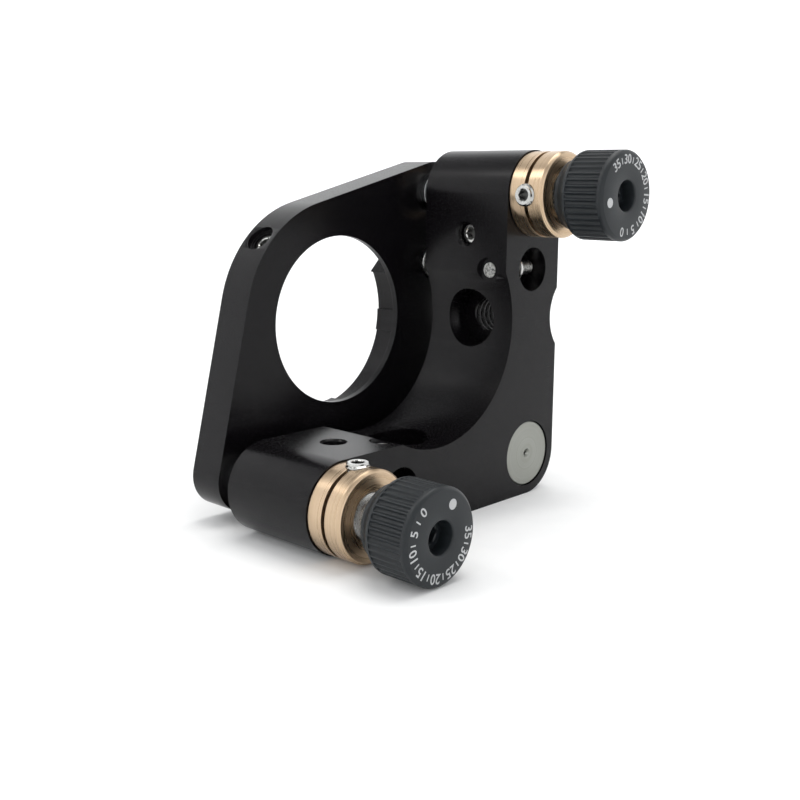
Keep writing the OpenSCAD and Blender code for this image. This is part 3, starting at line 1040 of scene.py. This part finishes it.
@dataclass
class Inner:
    """Springs, pins, seats, the pivot and the optic's nylon tip."""

    palette: Palette
    edge: float = 0.05
    sharp: float = 40.0
    smooth: float = 22.0
    smooth_ball: float = 60.0
    ridge_pitch: float = 0.3
    ridge_depth: float = 0.06
    ridge_end: float = 0.15
    ridge_facets: int = 40
    hook_len: float = 2.2
    wire_join: float = 40.0
    wire_square: float = 60.0

    def build(self, nodes: Nodes) -> None:
        """Make each inner piece."""
        for side in ("top", "bottom"):
            self._spring(nodes, f"spring_{side}")
        for side in ("top", "bottom"):
            self._ridged_pin(f"rear_pin_{side}")
        plain = (
            ("front_pin_top", Look.STEEL, Body.FRONT, Slot.BRIGHT),
            ("front_pin_bottom", Look.STEEL, Body.FRONT, Slot.BRIGHT),
            ("cone_seat", Look.HARD, Body.FRONT, Slot.HARD),
            ("groove_seat", Look.HARD, Body.FRONT, Slot.HARD),
            ("flat_seat", Look.HARD, Body.FRONT, Slot.HARD),
            ("pivot_plug", Look.PLUG, Body.BASE, Slot.PLUG),
            ("pivot_ball", Look.HARD, Body.PIVOT, Slot.HARD),
            ("optic_screw_tip", Look.NYLON, Body.OPTIC_TIP, Slot.NYLON),
        )
        for name, look, body, slot in plain:
            bm = cad_copy(nodes[name])
            whole_ball = name == "pivot_ball"
            if not whole_ball:
                break_edges(bm, self.edge, self.sharp)
            finish_piece(f"{name}_dressed", bm, [self.palette[look]], body, [name],
                         smooth=self.smooth_ball if whole_ball else self.smooth)

    def _ridged_pin(self, name: str) -> None:
        """Rear spring pin with a fine thread along it and plain ends."""
        low, high = (Vector(c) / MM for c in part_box(name))
        span = high - low
        reach = max(span)
        out = Vector([float(s == reach) for s in span])
        r, half = span.y / 2, reach / 2
        bm = helix(r - self.ridge_depth, r, self.ridge_pitch, self.ridge_end - half,
                   half - self.ridge_end, self.ridge_facets)
        for end in (-1.0, 1.0):
            close_through(bm, rim_at(bm, end * (half - self.ridge_end)),
                          (end * half, circle(r - self.ridge_depth)))
        bmesh.ops.recalc_face_normals(bm, faces=bm.faces[:])
        finish_piece(f"{name}_dressed", bm, [self.palette[Look.PIN]], Body.BASE,
                     [name], along(out, (low + high) / 2 * MM), smooth=30.0)

    def _spring(self, nodes: Nodes, name: str) -> None:
        """Round a spring's wire and cut it at its middle into a rear and a front half."""
        bm = bmesh.new()
        bm.from_mesh(nodes[name].data)
        bmesh.ops.remove_doubles(bm, verts=bm.verts[:], dist=CAD_MERGE)
        bmesh.ops.join_triangles(
            bm, faces=bm.faces[:], angle_face_threshold=math.radians(self.wire_join),
            angle_shape_threshold=math.radians(self.wire_square),
        )
        bmesh.ops.subdivide_edges(bm, edges=bm.edges[:], cuts=1, use_grid_fill=True, smooth=1.0)
        low, high = (Vector(c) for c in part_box(name))
        middle = (low + high) / 2
        rear, front = middle.copy(), middle.copy()
        rear.y, front.y = low.y + self.hook_len * MM, high.y - self.hook_len * MM
        for part, keep, bodies, start, end, replaced in (
            ("rear", 1.0, (Body.BASE, Body.PIVOT), rear, middle, [name]),
            ("front", -1.0, (Body.PIVOT, Body.FRONT), middle, front, []),
        ):
            half = bm.copy()
            bmesh.ops.bisect_plane(
                half, geom=half.verts[:] + half.edges[:] + half.faces[:], dist=PLANE_REACH,
                plane_co=middle, plane_no=(0, keep, 0), clear_outer=True,
            )
            bmesh.ops.holes_fill(half, edges=[e for e in half.edges if e.is_boundary])
            piece = finish_piece(f"{name}_{part}", half, [self.palette[Look.WIRE]], None,
                                 replaced, smooth=80.0)
            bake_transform(piece)
        bm.free()


# ---- studio ----


@dataclass(frozen=True)
class Lamp:
    """One square soft box, aimed at the frame's origin."""

    name: str
    at: Triple
    size: float
    power: float
    colour: Triple = (1.0, 0.99, 0.97)

    def build(self) -> None:
        """Hang the lamp."""
        data = bpy.data.lights.new(self.name, "AREA")
        data.shape, data.size = "SQUARE", self.size
        data.energy, data.color = self.power, self.colour
        lamp = new_object(self.name, data)
        turn = (-Vector(self.at)).to_track_quat("-Z", "Y").to_matrix().to_4x4()
        lamp.matrix_world = Matrix.Translation(self.at) @ turn


@dataclass
class Studio:
    """Pale floor, soft lights and the camera."""

    camera_at: Triple = (-0.104189, -0.111383, 0.020128)
    azimuth: float = -46.183
    elevation: float = 11.805
    roll: float = 0.166
    lens: float = 48.81
    sensor: float = 36.0
    shift: tuple[float, float] = (0.0081, 0.0005)
    clip_start: float = 0.001
    floor_r: float = 0.9
    floor_steps: int = 96
    bend_r: float = 0.35
    bend_steps: int = 12
    wall_height: float = 1.2
    paper: Triple = (0.86, 0.865, 0.87)
    paper_pale: Triple = (0.9, 0.9, 0.9)
    paper_rough: float = 0.9
    paper_specular: float = 0.2
    paper_grain: float = 400.0
    # Between these distances from the mount the paper's own light rises to its full strength.
    glow_from: float = 0.15
    glow_to: float = 0.6
    glow: float = 0.4
    sky: Triple = (0.96, 0.98, 1.0)
    sky_strength: float = 0.52
    lamps: tuple[Lamp, ...] = (
        Lamp("key", (0.11, -0.005, 0.5), 0.42, 1.8),
        Lamp("edge_light", (-0.167, 0.145, 0.28), 0.12, 0.2),
    )

    def build(self) -> None:
        """Set up the floor, the light and the view."""
        self._floor()
        self._sky()
        for lamp in self.lamps:
            lamp.build()
        self._camera()

    def _floor(self) -> None:
        """A round sheet that lies flat under the mount and curves up far around it."""
        floor_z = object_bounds()[0][2]
        bend = [math.pi / 2 * step / self.bend_steps for step in range(self.bend_steps + 1)]
        profile = [(0.0, 0.0)]
        profile += [(self.floor_r + self.bend_r * math.sin(t), self.bend_r * (1 - math.cos(t)))
                    for t in bend]
        profile.append((self.floor_r + self.bend_r, self.wall_height))
        bm = spin_chain([(r, 0.0, floor_z + rise) for r, rise in profile], self.floor_steps,
                        FLOOR_MERGE, axis=(0.0, 0.0, 1.0))
        mesh = new_mesh("floor", bm)
        mesh.shade_smooth()
        mesh.materials.append(self._paper())
        new_object("floor", mesh)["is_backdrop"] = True

    def _paper(self) -> Material:
        """Matt paper that glows a little far from the mount, so that it stays pale there."""
        material = bpy.data.materials.new("pale_paper")
        material.use_nodes = True
        w = Wiring(material.node_tree)
        shader = w.tree.nodes["Principled BSDF"]
        shader.inputs["Roughness"].default_value = self.paper_rough
        shader.inputs["Specular IOR Level"].default_value = self.paper_specular
        place = w.add("ShaderNodeTexCoord").outputs["Object"]
        noise = w.add("ShaderNodeTexNoise", Scale=self.paper_grain, Detail=4.0)
        w.join(place, noise.inputs["Vector"])
        shade = w.mix(noise.outputs["Fac"], self.paper, self.paper_pale)
        w.join(shade, shader.inputs["Base Color"])
        away = w.vector("LENGTH", place)
        shader.inputs["Emission Color"].default_value = (1.0, 1.0, 1.0, 1.0)
        w.join(w.spread(away.outputs["Value"], self.glow_from, self.glow_to, 0.0, self.glow),
               shader.inputs["Emission Strength"])
        return material

    def _sky(self) -> None:
        """Even pale surround."""
        world = bpy.data.worlds.new("studio")
        world.use_nodes = True
        background = world.node_tree.nodes["Background"]
        background.inputs["Color"].default_value = (*self.sky, 1.0)
        background.inputs["Strength"].default_value = self.sky_strength
        bpy.context.scene.world = world
        bpy.context.scene.view_settings.view_transform = "Standard"

    def _camera(self) -> None:
        """Camera at its viewing angle, from an azimuth, an elevation and a small roll."""
        azimuth, elevation, roll = map(math.radians, (self.azimuth, self.elevation, self.roll))
        back = Vector((math.sin(azimuth) * math.cos(elevation),
                       -math.cos(azimuth) * math.cos(elevation), math.sin(elevation)))
        level = Vector((math.cos(azimuth), math.sin(azimuth), 0.0))
        rise = back.cross(level)
        right = math.cos(roll) * level + math.sin(roll) * rise
        up = -math.sin(roll) * level + math.cos(roll) * rise
        data = bpy.data.cameras.new("camera")
        data.lens, data.sensor_width = self.lens, self.sensor
        data.shift_x, data.shift_y = self.shift
        data.clip_start = self.clip_start
        camera = new_object("camera", data)
        turn = Matrix((right, up, back)).transposed().to_4x4()
        camera.matrix_world = Matrix.Translation(self.camera_at) @ turn
        bpy.context.scene.camera = camera


# ---- the whole mount ----


PLAIN_FINISHES = (
    Finish(Look.PLATE, (0.0026, 0.0022, 0.0029), (0.0034, 0.003, 0.0036), 0.22, 0.28,
           specular=0.18, mottle=0.15, bump=0.06, worn=(0.07, 0.07, 0.072), wear=0.6),
    Finish(Look.KNOB, (0.0085, 0.011, 0.013), (0.0105, 0.0135, 0.016), 0.38, 0.48,
           specular=0.33, mottle=0.2, bump=0.12, grain_scale=7000.0),
    Finish(Look.INK, (0.38, 0.385, 0.39), (0.47, 0.475, 0.48), 0.5, 0.7, bump=0.2),
    Finish(Look.STEEL, (0.42, 0.42, 0.405), (0.56, 0.56, 0.545), 0.12, 0.24, metallic=1.0,
           bump=0.08, cloud_scale=900.0),
    Finish(Look.SHAFT, (0.44, 0.44, 0.43), (0.56, 0.56, 0.55), 0.22, 0.34, metallic=1.0,
           bump=0.08, cloud_scale=900.0),
    # Painted shade: dark steel laid inside the hex keys of the set screws, where the recess is in
    # shadow.
    Finish(Look.SOCKET, (0.1, 0.1, 0.1), (0.16, 0.16, 0.155), 0.35, 0.5, metallic=1.0,
           bump=0.2, cloud_scale=2500.0),
    Finish(Look.PIN, (0.16, 0.16, 0.155), (0.5, 0.5, 0.48), 0.25, 0.45, metallic=1.0,
           bump=0.5, bump_depth=0.00003, grain_scale=2600.0, mottle=0.2),
    Finish(Look.HARD, (0.60, 0.61, 0.63), (0.68, 0.69, 0.7), 0.06, 0.14, metallic=1.0,
           bump=0.02),
    Finish(Look.WIRE, (0.45, 0.45, 0.44), (0.6, 0.6, 0.58), 0.2, 0.34, metallic=1.0, bump=0.1,
           cloud_scale=2000.0),
    Finish(Look.NYLON, (0.75, 0.75, 0.7), (0.8, 0.8, 0.76), 0.35, 0.5, bump=0.1,
           bump_depth=0.00002),
)
TURNED_PLUG = Finish(
    Look.PLUG, (0.26, 0.265, 0.24), (0.31, 0.315, 0.29), 0.36, 0.5, metallic=1.0, bump=0.15,
    turned_pitch=0.00009, anisotropic=0.3)
TURNED_BRONZE = Finish(
    Look.BRONZE_TOP, (0.49, 0.36, 0.235), (0.57, 0.43, 0.295), 0.24, 0.32, metallic=1.0,
    bump=0.03, turned_pitch=0.00007, anisotropic=0.6)


@dataclass
class Mount:
    """Every piece of the mirror mount."""

    nodes: Nodes
    top_dot: float = 192.0
    bottom_dot: float = 62.0
    optic_hollow_r: float = 1.02

    def build(self) -> None:
        """Make the finishes, then the pieces."""
        palette = self._palette()
        Plates(palette).build(self.nodes)
        left, up = Vector((-1, 0, 0)), Vector((0, 0, 1))
        Adjuster("top", Body.KNOB_TOP, Body.TIP_TOP, Body.LOCK_TOP, left,
                 math.radians(self.top_dot), Look.BRONZE_TOP, palette).build(self.nodes)
        Adjuster("bottom", Body.KNOB_BOTTOM, Body.TIP_BOTTOM, Body.LOCK_BOTTOM, up,
                 math.radians(self.bottom_dot), Look.BRONZE_BOTTOM, palette).build(self.nodes)
        SetScrew("bushing_screw_top", left, Body.BASE, palette).build()
        SetScrew("bushing_screw_bottom", up, Body.BASE, palette).build()
        SetScrew("optic_set_screw", left + up, Body.OPTIC_SCREW, palette,
                 hollow_tip=self.optic_hollow_r).build()
        Inner(palette).build(self.nodes)

    @staticmethod
    def _palette() -> Palette:
        """Build each finish once; the turned ones take their axis from the frame.

        Returns:
            The materials by finish.
        """
        turned = []
        for pattern, look, node in (
            (TURNED_PLUG, Look.PLUG, "pivot_plug"),
            (TURNED_BRONZE, Look.BRONZE_TOP, "bushing_top"),
            (TURNED_BRONZE, Look.BRONZE_BOTTOM, "bushing_bottom"),
        ):
            low, high = (Vector(c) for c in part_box(node))
            turned.append(replace(pattern, look=look, axis_at=tuple((low + high) / 2)))
        effects = Effects()
        palette = {finish.look: finish.build(effects) for finish in (*PLAIN_FINISHES, *turned)}
        LOG.info("%d finishes ready", len(palette))
        return palette


def main() -> None:
    """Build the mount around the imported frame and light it."""
    logging.basicConfig(level=logging.INFO, format="%(name)s: %(message)s")
    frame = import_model()
    Studio().build()
    Mount(frame["nodes"]).build()


if __name__ == "__main__":
    main()
